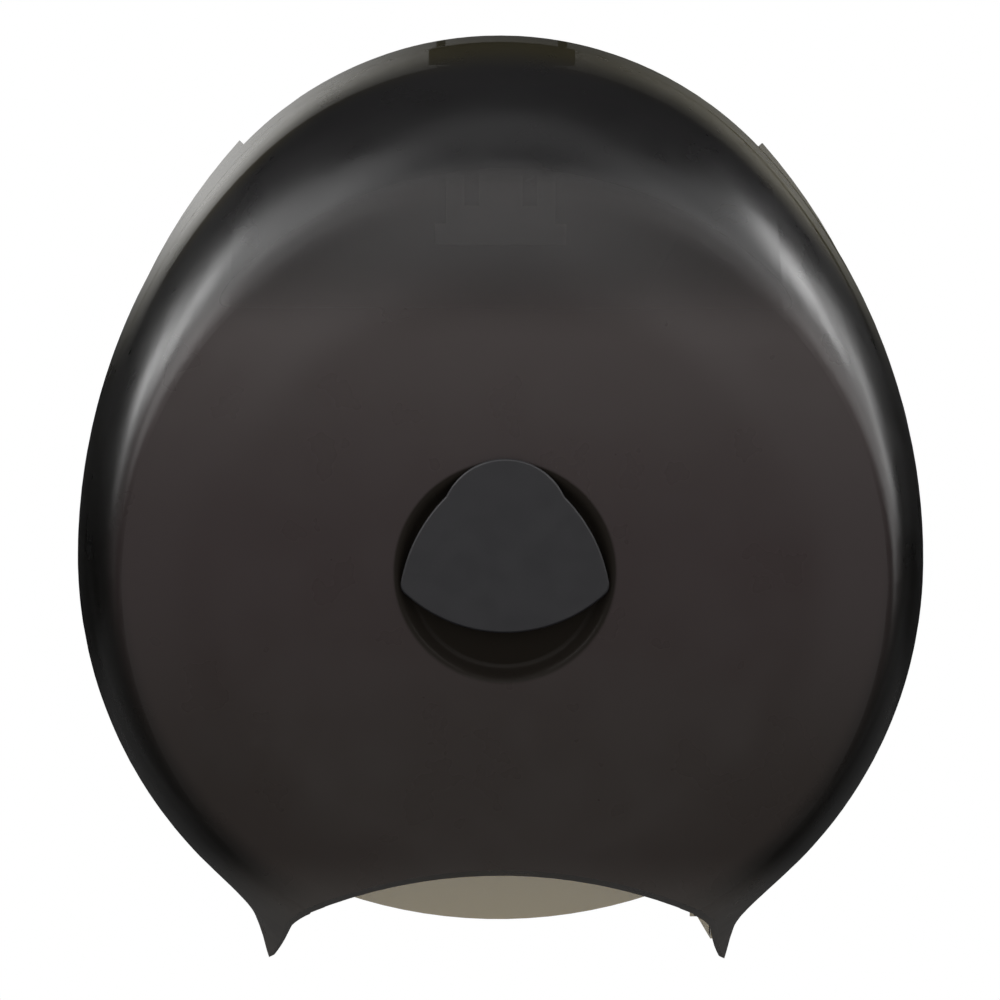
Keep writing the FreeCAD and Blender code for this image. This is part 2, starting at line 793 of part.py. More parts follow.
def make_back_plate():
    body = new_body("back_plate")
    outline = new_sketch(body, "outline", "XZ_Plane")
    add_wire(outline, plate_outline())
    pad(body, "tray", outline, "sizes.flange_height")
    inside = new_sketch(body, "inside", "XZ_Plane", "sizes.plate_floor")
    add_wire(inside, plate_inside())
    pocket(body, "tray_cut", inside, "sizes.flange_height", Reversed=True)

    seat = new_sketch(body, "spindle_seat", "XZ_Plane", "sizes.plate_floor")
    circle(seat, 0, 0, "sizes.seat_radius")
    pad(body, "spindle_seat_pad", seat, "sizes.seat_height")

    ring = new_sketch(body, "ring_rib", "XZ_Plane", "sizes.plate_floor")
    circle(ring, 0, 0, "sizes.rib_ring_radius")
    circle(ring, 0, 0, "sizes.rib_ring_radius - sizes.rib_width")
    pad(body, "ring_rib_pad", ring, "sizes.rib_height")
    ray = new_sketch(body, "ray_rib", "XZ_Plane", "sizes.plate_floor")
    rectangle(ray, v.seat_radius - v.rib_width, v.plate_bottom - v.rib_height * v.rib_width,
              -v.rib_width / 2, v.rib_width / 2)
    rib = pad(body, "ray_rib_pad", ray, "sizes.rib_height")
    polar(body, "ray_ribs", [rib], 6)

    bosses = new_sketch(body, "wall_bosses", "XZ_Plane", "sizes.plate_floor")
    holes = new_sketch(body, "wall_holes", "XZ_Plane")
    for x in (-v.wall_hole_x / 2, v.wall_hole_x / 2):
        for z in (-v.wall_hole_z / 2, v.wall_hole_z / 2):
            circle(bosses, x, z, "sizes.wall_boss_radius")
            circle(holes, x, z, "sizes.wall_hole_radius")
    pad(body, "wall_boss_pads", bosses, "sizes.wall_boss_height")

    rails = new_sketch(body, "rails", "XZ_Plane", "sizes.plate_floor")
    for side in (1, -1):
        middle = side * (v.slide_width / 2 - v.rail_width)
        rectangle(rails, middle - v.rail_width / 2, middle + v.rail_width / 2,
                  v.slide_bottom, v.guide_top)
    pad(body, "rail_pads", rails, "sizes.slide_back - sizes.plate_floor - sizes.rail_room")

    stops = new_sketch(body, "spring_stops", "XZ_Plane", "sizes.plate_floor")
    for side in (1, -1):
        middle = side * v.spring_x
        rectangle(stops, middle - v.stop_width / 2, middle + v.stop_width / 2,
                  v.stop_bottom, v.stop_bottom + v.stop_height)
    pad(body, "spring_stop_pads", stops, "sizes.stop_front - sizes.plate_floor")

    notch = new_sketch(body, "arm_notches", "XZ_Plane", "sizes.plate_floor")
    for side in (1, -1):
        middle = side * v.arm_spacing / 2
        half = v.key_slot_width / 2 + v.arm_thick / 2
        rectangle(notch, middle - half, middle + half, v.arm_bottom, v.plate_top + v.overrun)
    pocket(body, "arm_notch_cut", notch, "sizes.flange_height", Reversed=True)

    lobe = new_sketch(body, "ear_lobes", "XZ_Plane")
    for side in (1, -1):
        x0 = side * (v.ear_inner_x - v.rib_height)
        x1 = side * (ear_outer_x + v.rib_width)
        rectangle(lobe, min(x0, x1), max(x0, x1), hinge_z + v.rib_width, ear_top())
    pad(body, "ear_lobe_pads", lobe, "sizes.plate_floor")
    ear = new_sketch(body, "ear", "YZ_Plane", "sizes.ear_inner_x")
    ear_profile(ear)
    one = pad(body, "ear_pad", ear, "sizes.ear_thick")
    mirror(body, "ears", [one])
    bore = new_sketch(body, "ear_bore", "YZ_Plane")
    circle(bore, hinge_y, hinge_z,
           "sizes.pin_radius + sizes.pin_room + sizes.bush_wall + sizes.seat_room")
    pocket(body, "ear_bore_cut", bore, "2 * sizes.cover_half_width", Midplane=True)

    pocket(body, "wall_hole_cut", holes, "sizes.plate_half_width", Midplane=True)

    pilots = new_sketch(body, "screw_pilots", "XZ_Plane", "sizes.plate_floor")
    for x, z in base_screw_places():
        circle(pilots, x, z, "sizes.screw_pilot")
    pocket(body, "base_pilot_cut", pilots, "sizes.seat_height", Reversed=True)
    foot_pilots = new_sketch(body, "foot_pilots", "XZ_Plane")
    for x, z in guide_screw_places():
        circle(foot_pilots, x, z, "sizes.screw_pilot")
    pocket(body, "foot_pilot_cut", foot_pilots, "4 * sizes.plate_floor", Midplane=True)
    return body


# Roll spindle

def base_screw_places():
    angles = [math.radians(30 + 120 * i) for i in range(3)]
    return [(v.base_screw_circle * math.cos(a), v.base_screw_circle * math.sin(a)) for a in angles]


def make_spindle_post():
    body = new_body("spindle_post")
    profile = new_sketch(body, "profile", "YZ_Plane")
    nose = v.post_end - v.post_nose_wall
    polygon(profile, [
        (-seat_front, v.post_bore), (-seat_front, v.base_radius), (-base_front, v.base_radius),
        (-base_front, v.shoulder_radius), (-v.shoulder_end, v.shoulder_radius),
        (-v.shoulder_end, v.post_radius), (-v.post_end, v.post_radius),
        (-v.post_end, v.screw_pilot), (-nose, v.screw_pilot), (-nose, v.post_bore)])
    revolve(body, "turned", profile)
    gusset = new_sketch(body, "gusset", "YZ_Plane")
    under = -base_front + v.rib_width / 2
    polygon(gusset, [(under, v.post_radius), (under, v.shoulder_radius + v.gusset_reach),
                     (-base_front, v.shoulder_radius + v.gusset_reach),
                     (-v.shoulder_end + v.end_play, v.shoulder_radius),
                     (-v.shoulder_end + v.end_play, v.post_radius)])
    one = pad(body, "gusset_pad", gusset, "sizes.gusset_thick", Midplane=True)
    polar(body, "gussets", [one], 3)
    holes = new_sketch(body, "holes", "XZ_Plane")
    for x, z in base_screw_places():
        circle(holes, x, z, "sizes.screw_radius + sizes.end_play")
    pocket(body, "hole_cut", holes, "4 * sizes.shoulder_end", Midplane=True)
    return body


def make_spindle_hub():
    body = new_body("spindle_hub")
    web_rear = (v.hub_rear + v.hub_front - v.web_thick) / 2
    web_front = web_rear + v.web_thick
    spigot = bore_inner + v.hub_wall / 2
    profile = new_sketch(body, "profile", "YZ_Plane")
    polygon(profile, [
        (-sleeve_rear, sleeve_inner), (-sleeve_rear, sleeve_outer), (-web_rear, sleeve_outer),
        (-web_rear, bore_inner), (-v.hub_rear, bore_inner), (-v.hub_rear, spigot),
        (-v.hub_rear - v.hub_flange_thick, spigot),
        (-v.hub_rear - v.hub_flange_thick, v.hub_radius), (-v.hub_front, v.hub_radius),
        (-v.hub_front, bore_inner), (-web_front, bore_inner), (-web_front, sleeve_outer),
        (-sleeve_front, sleeve_outer), (-sleeve_front, sleeve_inner)])
    revolve(body, "drum", profile)
    spoke = new_sketch(body, "spoke", "YZ_Plane")
    rectangle(spoke, -v.hub_front + v.nose_lip + v.end_play, -v.hub_rear - v.hub_flange_thick,
              sleeve_outer - v.sleeve_wall / 2, bore_inner + v.hub_wall / 2)
    one = pad(body, "spoke_pad", spoke, "sizes.spoke_thick", Midplane=True)
    polar(body, "spokes", [one], 6)
    return body


def make_hub_flange():
    # ring on the rear spigot of the drum, which stops the core of the roll
    body = new_body("hub_flange")
    ring = new_sketch(body, "ring", "XZ_Plane", "sizes.hub_rear")
    circle(ring, 0, 0, "sizes.hub_flange_radius")
    circle(ring, 0, 0, "sizes.hub_radius - sizes.hub_wall / 2 + sizes.seat_room")
    pad(body, "disc", ring, "sizes.hub_flange_thick")
    return body


def make_hub_nose():
    body = new_body("hub_nose")
    profile = new_sketch(body, "profile", "YZ_Plane")
    front = v.hub_front + v.nose_length
    spigot = bore_inner - v.pin_room
    polygon(profile, [
        (-v.hub_front, v.hub_radius), (-front, v.nose_front_radius),
        (-front, v.nose_front_radius - v.nose_wall), (-v.hub_front, spigot - v.nose_wall),
        (-v.hub_front + v.nose_lip, spigot - v.nose_wall), (-v.hub_front + v.nose_lip, spigot),
        (-v.hub_front, spigot)])
    revolve(body, "cone", profile)
    return body


def make_hub_bush(label, seat, way):
    # a flanged bush; way is 1 where its body reaches towards the front
    body = new_body(label)
    profile = new_sketch(body, "profile", "YZ_Plane")
    start = -seat + way * v.hub_bush_flange
    end = -seat - way * v.bush_length
    polygon(profile, [
        (start, bush_inner), (start, v.shoulder_radius), (-seat, v.shoulder_radius),
        (-seat, bush_outer), (end, bush_outer), (end, bush_inner)])
    revolve(body, "sleeve", profile)
    return body


def make_hub_washer():
    body = new_body("hub_washer")
    ring = new_sketch(body, "ring", "XZ_Plane", "sizes.post_end")
    circle(ring, 0, 0, "sizes.washer_radius")
    circle(ring, 0, 0, "sizes.screw_radius + sizes.end_play")
    pad(body, "disc", ring, "sizes.washer_thick")
    return body


# Screws: pan head with a cross recess, plain shank

def screw_solid(place, face, length):
    x, z = place
    head = v.screw_head_thick
    radius = v.screw_head_radius
    points = [vector(0, 0, head), vector(0, 0, -length), vector(v.screw_radius, 0, -length),
              vector(v.screw_radius, 0, 0), vector(radius, 0, 0), vector(radius, 0, head / 2),
              vector(radius - head / 2, 0, head), vector(0, 0, head)]
    section = Part.Face(Part.makePolygon(points))
    solid = section.revolve(vector(0, 0, 0), vector(0, 0, 1), 360)
    for width, depth in ((v.drive_width, v.drive_length), (v.drive_length, v.drive_width)):
        corner = vector(-width / 2, -depth / 2, head - v.drive_depth)
        solid = solid.cut(Part.makeBox(width, depth, v.drive_depth + head, corner))
    solid.rotate(vector(0, 0, 0), turn_about_x, 90)
    solid.translate(vector(x, -face, z))
    return solid


def make_screws(label, places, face, length):
    group = doc.addObject("Part::Feature", label)
    group.Label = label
    group.Shape = Part.Compound([screw_solid(place, face, length) for place in places])
    parts.append(group)
    return group


# Latch

def guide_leg_x():
    return v.slide_width / 2 + v.guide_room


def guide_screw_places():
    x = guide_leg_x() + v.guide_wall + v.guide_foot / 2
    levels = (v.guide_bottom + v.guide_foot / 2, v.guide_top - v.guide_foot / 2)
    return [(side * x, z) for side in (-1, 1) for z in levels]


def make_latch_guide(label, side):
    # a rail whose lip reaches over the edge of the slide
    body = new_body(label)
    section = new_sketch(body, "section", "XY_Plane", "sizes.guide_bottom")
    inner = guide_leg_x()
    outer = inner + v.guide_wall
    foot = outer + v.guide_foot
    lip = inner - v.guide_lip
    under = slide_front + v.guide_room
    crown = under + v.guide_wall
    floor = v.plate_floor
    foot_front = floor + v.guide_foot_thick
    points = [(foot, floor), (foot, foot_front), (outer, foot_front), (outer, crown),
              (lip, crown), (lip, under), (inner, under), (inner, floor)]
    polygon(section, [(side * x, -y) for x, y in points])
    pad(body, "rail", section, "sizes.guide_height")
    holes = new_sketch(body, "holes", "XZ_Plane")
    for x, z in guide_screw_places():
        if x * side > 0:
            circle(holes, x, z, "sizes.screw_radius + sizes.end_play")
    pocket(body, "hole_cut", holes, "4 * sizes.shoulder_end", Midplane=True)
    return body


def make_latch_slide():
    body = new_body("latch_slide")
    strip = new_sketch(body, "strip", "XZ_Plane", "sizes.slide_back")
    half = v.slide_width / 2
    head = (v.arm_spacing + v.arm_thick) / 2
    neck = v.slide_top - v.head_height
    polygon(strip, [(-half, v.slide_bottom), (half, v.slide_bottom), (half, neck), (head, neck),
                    (head, v.slide_top), (-head, v.slide_top), (-head, neck), (-half, neck)])
    for side in (1, -1):
        middle = side * v.spring_x
        rectangle(strip, middle - v.window_width / 2, middle + v.window_width / 2,
                  v.window_bottom, v.window_top)
    pad(body, "strip_pad", strip, "sizes.slide_thick")
    bar = new_sketch(body, "bar", "XZ_Plane", "sizes.slide_back")
    rectangle(bar, -v.bar_width / 2, v.bar_width / 2, v.slide_bottom - v.bar_height, v.slide_bottom)
    pad(body, "bar_pad", bar, "sizes.bar_thick")
    arm = new_sketch(body, "arm", "YZ_Plane")
    arm.AttachmentOffset = FreeCAD.Placement(
        vector(0, 0, (v.arm_spacing - v.arm_thick) / 2), FreeCAD.Rotation())
    polygon(arm, [
        (-v.slide_back, v.arm_bottom), (-v.arm_reach, v.arm_bottom),
        (-v.arm_reach, barb_top - v.barb_height / 2), (-v.arm_reach + v.barb_thick / 2, barb_top),
        (-barb_back, barb_top), (-barb_back, arm_top), (-v.slide_back, arm_top)])
    one = pad(body, "arm_pad", arm, "sizes.arm_thick")
    mirror(body, "arms", [one])
    return body


def helix_point(center, pitch, turns):
    angle = 2 * math.pi * turns
    radius = v.spring_radius
    return center + vector(radius * math.cos(angle), radius * math.sin(angle), pitch * turns)


def helix_way(pitch, turns):
    angle = 2 * math.pi * turns
    around = 2 * math.pi * v.spring_radius
    return unit(vector(-around * math.sin(angle), around * math.cos(angle), pitch))


def arc_from(start, way, end):
    # the arc that leaves start along way and passes through end
    chord = end - start
    bend = way.getAngle(chord)
    middle = start + unit(way + unit(chord)) * (chord.Length / (2 * math.cos(bend / 2)))
    return Part.Arc(start, middle, end)


def two_arcs(start, start_way, end, end_way):
    # a smooth pair of arcs between two points with given directions
    chord = end - start
    ways = start_way + end_way
    turn = 2 * (1 - start_way.dot(end_way))
    reach = (math.sqrt(chord.dot(ways) ** 2 + turn * chord.dot(chord)) - chord.dot(ways)) / turn
    joint = (start + end + (start_way - end_way) * reach) * 0.5
    joint_way = unit(end - end_way * reach - start - start_way * reach)
    return [arc_from(start, start_way, joint), arc_from(joint, joint_way, end)]


def least_gap(path, turns):
    # the nearest two points of the wire's middle line that lie at least half a turn apart
    per_turn = 48
    points = path.discretize(int(per_turn * turns) + 1)
    apart = per_turn // 2
    distances = [(points[i] - points[j]).Length
                 for i in range(len(points)) for j in range(i + apart, len(points))]
    return min(distances) - 2 * v.spring_wire


def make_spring(label, side):
    body = new_body(label)
    bottom = v.stop_bottom + v.stop_height + v.spring_wire + v.rail_room
    top = v.window_top - v.spring_wire - v.rail_room
    pitch = (top - bottom) / v.spring_turns
    center = vector(side * v.spring_x, -(v.slide_back + v.slide_thick / 2), bottom)
    arcs = []
    for i in range(int(2 * v.spring_turns)):
        start, end = i / 2, (i + 1) / 2
        arcs += two_arcs(helix_point(center, pitch, start), helix_way(pitch, start),
                         helix_point(center, pitch, end), helix_way(pitch, end))
    path = Part.Wire([arc.toShape() for arc in arcs])
    begin = helix_point(center, pitch, 0)
    way = helix_way(pitch, 0)
    aside = unit(way.cross(vector(0, 0, 1))) * v.spring_wire
    corners = [begin + FreeCAD.Rotation(way, 60 * i).multVec(aside) for i in range(7)]
    section = Part.makePolygon(corners)
    coil = doc.addObject("Part::Feature", label + "_coil")
    coil.Shape = path.makePipeShell([section], True, False)
    body.BaseFeature = coil
    print("%s: least gap of the wire to itself %.2f mm" % (label, least_gap(path, v.spring_turns)))
    return body


# Hinge pieces

def make_hinge_bush(label, side):
    body = new_body(label)
    profile = new_sketch(body, "profile", "XY_Plane", "-sizes.hinge_drop")
    inner = v.pin_radius + v.pin_room
    outer = inner + v.bush_wall
    flange = outer + v.bush_wall
    x0 = v.ear_inner_x - v.bush_flange
    points = [(x0, inner), (x0, flange), (v.ear_inner_x, flange), (v.ear_inner_x, outer),
              (ear_outer_x, outer), (ear_outer_x, inner)]
    polygon(profile, [(side * x, hinge_y + r) for x, r in points])
    axis = line(flat(0, hinge_y), flat(side * v.ear_inner_x, hinge_y))
    profile.addGeometry(axis, True)
    revolve(body, "sleeve", profile, "Axis0")
    return body


def make_hinge_pin(label, side):
    body = new_body(label)
    profile = new_sketch(body, "profile", "XY_Plane", "-sizes.hinge_drop")
    head = v.ear_inner_x - v.bush_flange - v.knuckle_gap / 2
    start = head - v.pin_head_thick
    end = knuckle_start + v.pin_seat - v.knuckle_gap / 2
    tip = v.pin_radius / 2
    points = [(start, 0), (start, v.pin_head_radius - tip / 2), (start + tip / 2, v.pin_head_radius),
              (head, v.pin_head_radius), (head, v.pin_radius), (end - tip, v.pin_radius),
              (end, tip), (end, 0)]
    polygon(profile, [(side * x, hinge_y + r) for x, r in points])
    axis = line(flat(0, hinge_y), flat(side * start / 2, hinge_y))
    profile.addGeometry(axis, True)
    revolve(body, "turned", profile, "Axis0")
    return body


make_back_plate()
make_spindle_post()
make_screws("spindle_post_screws", base_screw_places(), base_front, v.screw_length)
make_spindle_hub()
make_hub_flange()
make_hub_nose()
make_hub_bush("hub_bush_rear", sleeve_rear, 1)
make_hub_bush("hub_bush_front", sleeve_front, -1)
make_hub_washer()
make_screws("hub_screw", [(0, 0)], v.post_end + v.washer_thick, v.screw_length)
make_screws("latch_guide_screws", guide_screw_places(), v.plate_floor + v.guide_foot_thick,
            v.plate_floor + v.guide_foot_thick - v.end_play)
make_latch_slide()
for side, name in ((-1, "left"), (1, "right")):
    make_latch_guide("latch_guide_" + name, side)
    make_spring("latch_spring_" + name, side)
    make_hinge_bush("hinge_bush_" + name, side)
    make_hinge_pin("hinge_pin_" + name, side)
make_cover()
make_cover_hub_cap()
doc.recompute()

for item in doc.Objects:
    if "Invalid" in item.State or "Error" in item.State:
        raise RuntimeError("%s did not build: %s" % (item.Name, item.State))
for item in parts:
    if item.Shape.isNull() or not item.Shape.isValid():
        raise RuntimeError("%s has no valid shape" % item.Label)

os.makedirs("parts", exist_ok=True)
for item in parts:
    item.Shape.exportStep("parts/%s.step" % item.Label)
print("%d sub-parts written" % len(parts))
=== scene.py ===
# Jumbo roll dispenser: finishes, mouth lip, hinge ends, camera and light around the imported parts
import json
import math

import bmesh
import bpy
from mathutils import Matrix, Vector
from mathutils.kdtree import KDTree


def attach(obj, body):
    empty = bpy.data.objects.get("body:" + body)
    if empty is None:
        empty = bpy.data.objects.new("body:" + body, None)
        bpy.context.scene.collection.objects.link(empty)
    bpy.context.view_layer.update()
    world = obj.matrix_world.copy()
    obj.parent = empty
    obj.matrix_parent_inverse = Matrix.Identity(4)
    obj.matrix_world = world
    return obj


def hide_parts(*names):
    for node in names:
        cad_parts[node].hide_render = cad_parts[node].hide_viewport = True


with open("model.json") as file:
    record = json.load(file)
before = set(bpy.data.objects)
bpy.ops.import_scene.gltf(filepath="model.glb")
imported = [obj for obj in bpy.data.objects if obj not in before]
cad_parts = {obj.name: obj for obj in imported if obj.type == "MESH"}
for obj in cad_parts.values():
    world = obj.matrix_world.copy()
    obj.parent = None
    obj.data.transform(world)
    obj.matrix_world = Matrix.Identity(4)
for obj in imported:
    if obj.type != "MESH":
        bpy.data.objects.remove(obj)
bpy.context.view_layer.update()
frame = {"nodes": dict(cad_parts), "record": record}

mm = 0.001
nodes = frame["nodes"]
slotOf = {entry["node"]: entry["material_slot"] for entry in frame["record"]["subparts"]}
partMiddle = (0, -0.07, 0.03)  # the lamps aim at it, and the glows are placed as seen from it


def newObject(name, data):
    thing = bpy.data.objects.new(name, data)
    bpy.context.scene.collection.objects.link(thing)
    return thing


# Small helpers for the finishes

def newFinish(name):
    finish = bpy.data.materials.new(name)
    finish.use_nodes = True
    tree = finish.node_tree
    return finish, tree, tree.nodes["Principled BSDF"]


def addNode(tree, kind, **settings):
    node = tree.nodes.new(kind)
    for key, value in settings.items():
        setattr(node, key, value)
    return node


def feed(tree, socket, value):
    # a socket takes the output of another node, or else a number, a vector or a colour
    if isinstance(value, bpy.types.NodeSocket):
        tree.links.new(value, socket)
    elif socket.type == "RGBA":
        socket.default_value = (*value, 1)
    else:
        socket.default_value = value


def objectSpace(tree):
    return addNode(tree, "ShaderNodeTexCoord").outputs["Object"]


def splitSpace(tree):
    space = objectSpace(tree)
    split = addNode(tree, "ShaderNodeSeparateXYZ")
    feed(tree, split.inputs[0], space)
    return space, split.outputs


def mathNode(tree, operation, *values):
    node = addNode(tree, "ShaderNodeMath", operation=operation)
    for socket, value in zip(node.inputs, values):
        feed(tree, socket, value)
    return node.outputs[0]


def vectorNode(tree, operation, *values, scale=None, label=""):
    node = addNode(tree, "ShaderNodeVectorMath", operation=operation, label=label)
    for socket, value in zip(node.inputs, values):
        feed(tree, socket, value)
    if scale:
        feed(tree, node.inputs["Scale"], scale)
    return node.outputs


def hypotenuse(tree, first, second):
    squares = [mathNode(tree, "MULTIPLY", side, side) for side in (first, second)]
    return mathNode(tree, "SQRT", mathNode(tree, "ADD", *squares))


def fade(tree, value, start, end, low=0.0, high=1.0):
    # runs smoothly from low to high while value goes from start to end
    node = addNode(tree, "ShaderNodeMapRange", interpolation_type="SMOOTHSTEP")
    names = ("Value", "From Min", "From Max", "To Min", "To Max")
    for name, number in zip(names, (value, start, end, low, high)):
        feed(tree, node.inputs[name], number)
    return node.outputs["Result"]


def zone(tree, value, limits, low=0.0, high=1.0):
    # the same between two places in millimetres
    start, end = limits
    return fade(tree, value, start * mm, end * mm, low, high)


def cloud(tree, space, scale, detail=3.0, stretch=(1, 1, 1)):
    mapping = addNode(tree, "ShaderNodeMapping")
    feed(tree, mapping.inputs["Scale"], stretch)
    feed(tree, mapping.inputs["Vector"], space)
    noise = addNode(tree, "ShaderNodeTexNoise")
    feed(tree, noise.inputs["Scale"], scale)
    feed(tree, noise.inputs["Detail"], detail)
    feed(tree, noise.inputs["Vector"], mapping.outputs[0])
    return noise.outputs["Fac"]


def mixNode(tree, kind, sockets, factor, *values):
    node = addNode(tree, "ShaderNodeMix", data_type=kind)
    first, second, result = sockets
    for place, value in zip((0, first, second), (factor, *values)):
        feed(tree, node.inputs[place], value)
    return node.outputs[result]


def mixColor(tree, factor, first, second):
    return mixNode(tree, "RGBA", (6, 7, 2), factor, first, second)


def mixFloat(tree, factor, first, second):
    return mixNode(tree, "FLOAT", (2, 3, 0), factor, first, second)


cloudMiddle = (0.3, 0.7)  # the range of a cloud in which the roughness changes
grainDetail = 2.0


def roughen(tree, shader, patches, levels):
    feed(tree, shader.inputs["Roughness"], fade(tree, patches, *cloudMiddle, *levels))


def grain(tree, shader, space, choice, base=None):
    scale, depth, strength = choice
    bump = addNode(tree, "ShaderNodeBump")
    feed(tree, bump.inputs["Strength"], strength)
    feed(tree, bump.inputs["Distance"], depth)
    feed(tree, bump.inputs["Height"], cloud(tree, space, scale, grainDetail))
    if base:
        feed(tree, bump.inputs["Normal"], base)
    feed(tree, shader.inputs["Normal"], bump.outputs["Normal"])


# Smoke grey resin of the cover: deep and glossy over the face. Its colour holds painted light and
# shade:
# lighter high on the face and darker at the crest and low down, painted shade down the side wall, a
# painted reflection of the floor on the feet, painted shadow in the round recess, and a paler olive
# on the upper shoulders for thin resin with painted light shining through. Places and distances are
# in millimetres.

coverResin = {
    # painted light and shade by height: the upper face lighter as if lit from above, the crest and
    # the lower face darker
    "crest": (0.034, 0.028, 0.027),
    "upper": (0.061, 0.048, 0.046),
    "middle": (0.041, 0.028, 0.0275),
    "lower": (0.036, 0.028, 0.0245),
    # painted shade on the side wall: darkest at the sides, less dark over the crown
    "crown": (0.018, 0.0172, 0.018),
    "edge": (0.0065, 0.0055, 0.0045),
    # painted reflection of the pale floor: the feet lighter towards their tips
    "tip": (0.078, 0.07, 0.064),
    # thin resin with painted light shining through: a paler olive, partly its own tint
    "thinGlow": (0.13, 0.11, 0.04),
    # painted shadow in the round recess under the cap
    "cup": (0.015, 0.012, 0.009),
    "cupWall": (0.021, 0.0175, 0.0145),
    # from the first colour of each pair to the next, by height
    "lowerToMiddle": (-80, 20), "middleToUpper": (15, 110), "upperToCrest": (108, 138),
    "edgeToCrown": (100, 150), "lowerToTip": (-108, -142),
    "cloud": 14.0, "cloudShift": 16,
    "highAlpha": 0.61, "lowAlpha": 0.965, "alphaHeight": (90, 118),
    "wallAlpha": 0.96,
    "footAlpha": 0.975, "footHeight": (-92, -108),
    # the thin resin of the shoulders, painted paler with light shining through from behind: by
    # height, by how far aside and by depth, where it starts nearer to the face at the sides
    "thinGlowHeight": (60, 150), "thinGlowAside": (10, 125), "thinGlowShare": (0.4, 1.0),
    "thinGlowDepth": (-98, -54), "thinGlowLead": 11, "leadAside": (65, 115),
    # the left shoulder is more see-through than the right, which brightens it as painted light
    "thinGlowAlpha": (0.4, 0.7), "thinGlowAcross": (-90, 40),
    # the round recess, painted dark as shadow under the cap and given less gloss, by distance from
    # the axis
    "cupRadius": (44.4, 42.9), "cupWallRadius": (35.5, 37.5), "cupGloss": (0.5, 0.04),
    "roughness": (0.27, 0.31), "roughCloud": 45.0,
    "ior": 1.45,
    "grain": (2600.0, 0.000012, 0.3),
    "faceCenter": 4.0, "faceRadius": (158.0, 147.0),
    "shoulderCenter": -4.0, "shoulder": (105.0, 144.0, 178.0), "shoulderTilt": 0.22,
}


def fromPoint(tree, x, z, height):
    # distance in the plane of the face from the point at that height on the middle line
    lifted = mathNode(tree, "SUBTRACT", z, height * mm)
    return hypotenuse(tree, x, lifted), lifted


def softShoulder(tree, x, z):
    # the normal leans out a little on both sides of the face's edge, so the wall turns softly
    fromFace, lifted = fromPoint(tree, x, z, coverResin["shoulderCenter"])
    start, middle, end = coverResin["shoulder"]
    rise = zone(tree, fromFace, (start, middle), 0.0, coverResin["shoulderTilt"])
    tilt = mathNode(tree, "MULTIPLY", rise, zone(tree, fromFace, (middle, end), 1.0, 0.0))
    outward = addNode(tree, "ShaderNodeCombineXYZ")
    feed(tree, outward.inputs[0], x)
    feed(tree, outward.inputs[2], lifted)
    turned = addNode(tree, "ShaderNodeVectorTransform", vector_type="VECTOR",
                     convert_from="OBJECT", convert_to="WORLD")
    feed(tree, turned.inputs[0], outward.outputs[0])
    scaled = vectorNode(tree, "SCALE", turned.outputs[0],
                        scale=mathNode(tree, "DIVIDE", tilt, fromFace))
    normal = addNode(tree, "ShaderNodeNewGeometry").outputs["Normal"]
    total = vectorNode(tree, "ADD", normal, scaled[0])
    return vectorNode(tree, "NORMALIZE", total[0])[0]


def thinGlowPlaces(tree, x, y, z):
    # 1 where the thin resin of the shoulders is painted paler with light shining through, 0
    # elsewhere
    resin = coverResin
    aside = mathNode(tree, "ABSOLUTE", x)
    byAside = zone(tree, aside, resin["thinGlowAside"], *resin["thinGlowShare"])
    shoulder = mathNode(tree, "MULTIPLY", zone(tree, z, resin["thinGlowHeight"]), byAside)
    lead = zone(tree, aside, resin["leadAside"], 0.0, resin["thinGlowLead"] * mm)
    depth = mathNode(tree, "ADD", y, lead)
    return mathNode(tree, "MULTIPLY", shoulder, zone(tree, depth, resin["thinGlowDepth"]))


